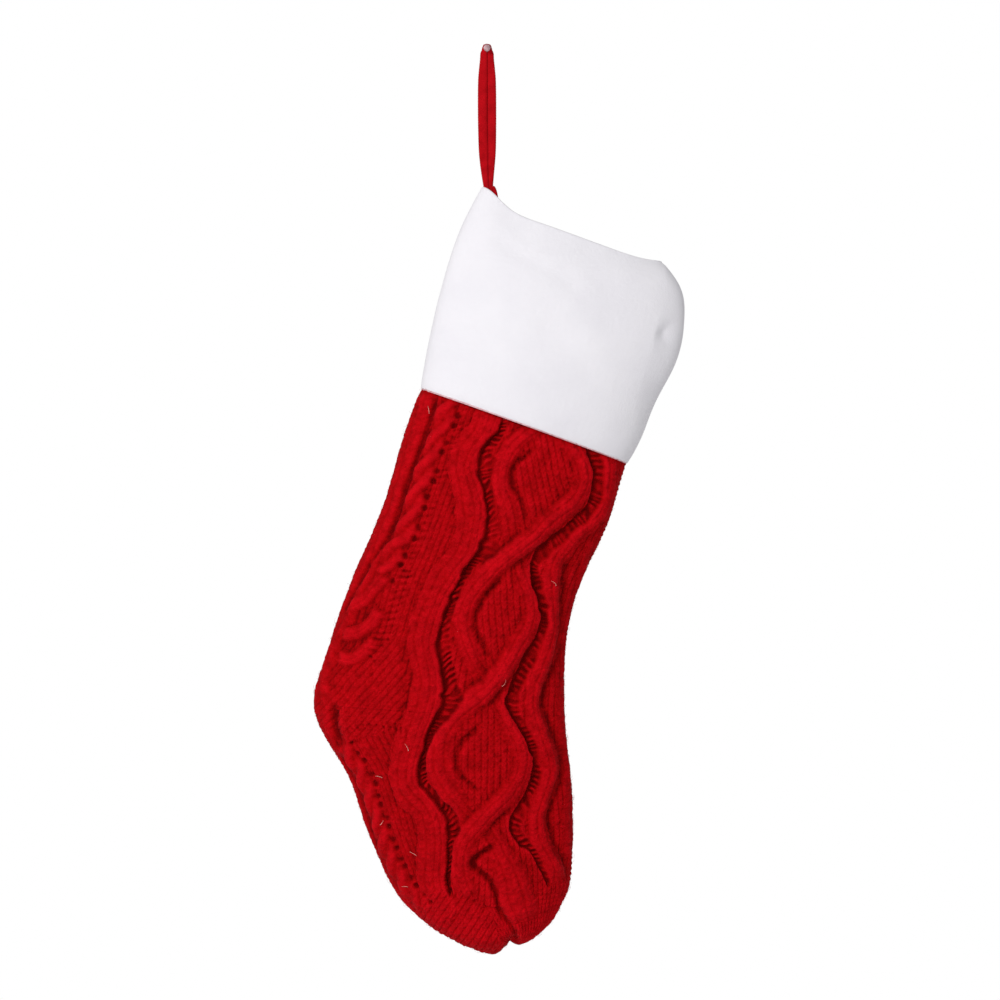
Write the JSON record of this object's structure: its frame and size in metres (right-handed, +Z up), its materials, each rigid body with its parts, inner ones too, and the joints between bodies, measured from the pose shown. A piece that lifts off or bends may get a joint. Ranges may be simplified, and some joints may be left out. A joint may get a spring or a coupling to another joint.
{
  "type": "hanging stocking",
  "caption": "Chunky cable-knit stocking with a turned heel and a wide plush cuff, hung by a tape loop on a small wall nail.",
  "frame": {"origin": "point of the nail's axis on the wall plane", "axes": "+Z up; +Y into the wall, along the nail; +X to the right seen from the front, the side the foot's instep and the cuff's free corner are on"},
  "size_m": [0.2232, 0.0731, 0.5441],
  "materials": {
    "nail_steel": "brushed",
    "loop_tape": "matte",
    "cuff_plush": "matte",
    "hem_thread": "matte",
    "red_knit": "matte",
    "knit_seam": "matte"
  },
  "bodies": {
    "nail": {"wall_nail": "nail_steel"},
    "loop": {"hanging_loop": "loop_tape"},
    "stocking": {"loop_tail": "loop_tape", "loop_knot": "loop_tape", "cuff_band": "cuff_plush", "cuff_seam": "cuff_plush", "cuff_facing": "cuff_plush", "cuff_hem_thread": "hem_thread", "leg_front": "red_knit", "leg_back": "red_knit", "heel_front": "red_knit", "heel_back": "red_knit", "foot_front": "red_knit", "foot_back": "red_knit", "toe_front": "red_knit", "toe_back": "red_knit", "seam_heel_side": "knit_seam", "seam_instep_side": "knit_seam", "seam_toe": "knit_seam"}
  },
  "joints": [
    {"name": "loop_swing", "type": "hinge", "parent": "nail", "child": "loop", "pos_m": [0, -0.03, 0], "axis": [0, 1, 0], "range_deg": [-45, 45]},
    {"name": "stocking_swing", "type": "hinge", "parent": "loop", "child": "stocking", "pos_m": [0, -0.03, -0.08], "axis": [0, 1, 0], "range_deg": [-30, 30]}
  ]
}
